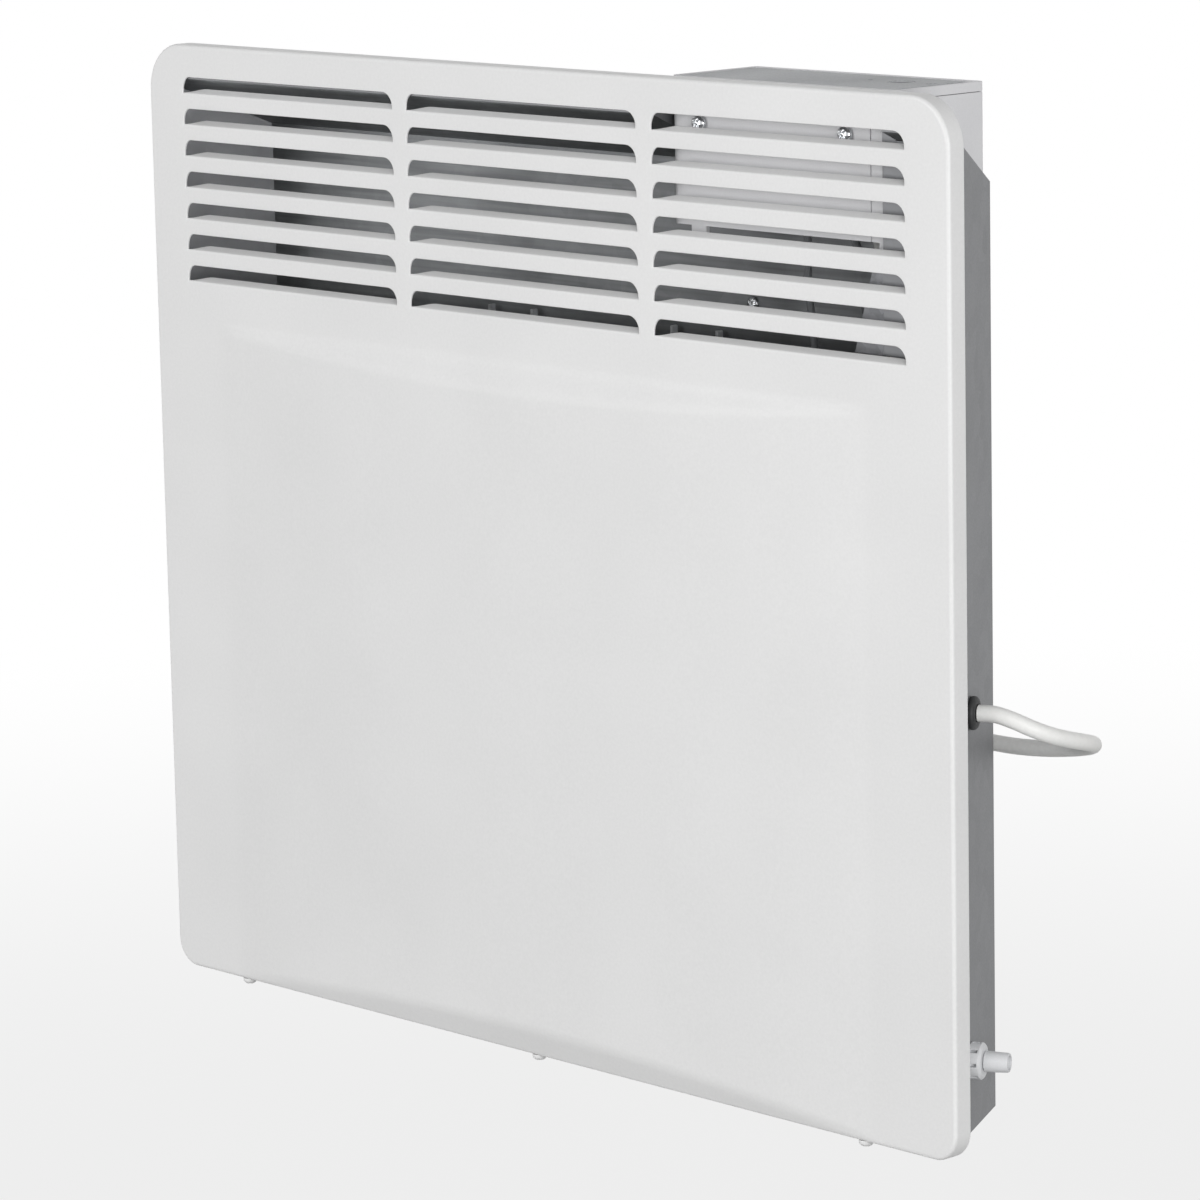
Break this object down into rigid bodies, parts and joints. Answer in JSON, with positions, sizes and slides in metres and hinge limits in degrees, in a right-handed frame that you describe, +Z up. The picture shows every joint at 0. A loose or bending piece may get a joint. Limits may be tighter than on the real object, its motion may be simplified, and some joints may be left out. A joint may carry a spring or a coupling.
{
  "type": "electric_panel_radiator",
  "caption": "Wall-hung electric panel radiator with a louvred white front, folded steel rear casing, finned element, top control box, coiled mains lead and steel wall bracket",
  "frame": {"origin": "Centre of the upper bracket rail's rear face, flat on the wall, on the radiator's centre line.", "axes": "X runs to the right seen from the front, along the radiator's width. Y runs back into the wall, so the white panel faces -Y. Z is up. The pose of the record is the radiator hung on its bracket."},
  "size_m": [0.5401, 0.095, 0.4543],
  "materials": {
    "white_enamel": "smooth white powder coat, satin",
    "galvanised_sheet": "bare galvanised sheet steel with a fine grain",
    "white_plastic": "moulded white plastic",
    "grey_plastic": "moulded grey plastic with a fine texture",
    "pale_grey_plastic": "moulded pale grey plastic",
    "dark_plastic": "dark moulded plastic and insulation",
    "green_laminate": "green lacquered circuit laminate",
    "chromed_steel": "plated steel, bright",
    "aluminium": "extruded aluminium, unpolished",
    "ceramic": "off-white unglazed ceramic",
    "black_rubber": "matt black rubber",
    "cord_sheath": "white flexible sheath",
    "bracket_steel": "white painted folded steel"
  },
  "bodies": {
    "wall_bracket": {"bracket_arm_left": "bracket_steel", "bracket_arm_right": "bracket_steel", "bracket_rail_upper": "bracket_steel", "bracket_rail_lower": "bracket_steel"},
    "heater": {"front_panel": "white_enamel", "rear_casing": "galvanised_sheet", "inlet_grille": "galvanised_sheet", "panel_screw_left": "white_enamel", "panel_screw_middle": "white_enamel", "panel_screw_right": "white_enamel", "control_box": "white_plastic", "control_box_cover": "grey_plastic", "status_light_pipe": "pale_grey_plastic", "receiver_window": "dark_plastic", "circuit_board": "green_laminate", "board_screw_1": "chromed_steel", "board_screw_2": "chromed_steel", "board_screw_3": "chromed_steel", "board_screw_4": "chromed_steel", "button_switch": "dark_plastic", "load_relay": "dark_plastic", "filter_capacitor": "pale_grey_plastic", "power_supply": "dark_plastic", "terminal_block": "ceramic", "control_box_screw_left": "chromed_steel", "control_box_screw_right": "chromed_steel", "heating_element": "aluminium", "element_bracket_left": "galvanised_sheet", "element_bush_left": "ceramic", "element_terminal_left": "chromed_steel", "element_bracket_right": "galvanised_sheet", "element_bush_right": "ceramic", "element_terminal_right": "chromed_steel", "bracket_rivet_left": "galvanised_sheet", "bracket_rivet_right": "galvanised_sheet", "cutout_rivet": "galvanised_sheet", "cutout_bracket": "galvanised_sheet", "thermal_cutout": "dark_plastic", "cutout_screw": "chromed_steel", "lead_element_to_cutout": "dark_plastic", "lead_cutout_to_block": "dark_plastic", "lead_element_to_block": "dark_plastic", "cord_grommet": "black_rubber", "cord_clamp": "white_plastic", "cord_tail": "cord_sheath", "sensor_holder": "pale_grey_plastic", "sensor_tip": "pale_grey_plastic", "lead_sensor": "dark_plastic", "power_cord": "cord_sheath", "cord_coil": "cord_sheath", "cord_tie": "black_rubber", "plug_body": "white_plastic", "plug_pin_left": "chromed_steel", "plug_pin_right": "chromed_steel"},
    "button": {"power_button": "grey_plastic"},
    "catch": {"bottom_catch": "grey_plastic"}
  },
  "joints": [
    {"name": "heater_lift", "type": "slide", "parent": "wall_bracket", "child": "heater", "axis": [0, 0, 1], "range_m": [0, 0.012]},
    {"name": "button_press", "type": "slide", "parent": "heater", "child": "button", "axis": [0, 0, -1], "range_m": [0, 0.0008], "stiffness_N_per_m": 2000, "springref_m": -0.0005},
    {"name": "catch_slide", "type": "slide", "parent": "wall_bracket", "child": "catch", "axis": [0, 0, -1], "range_m": [0, 0.008], "stiffness_N_per_m": 300, "springref_m": -0.004}
  ]
}
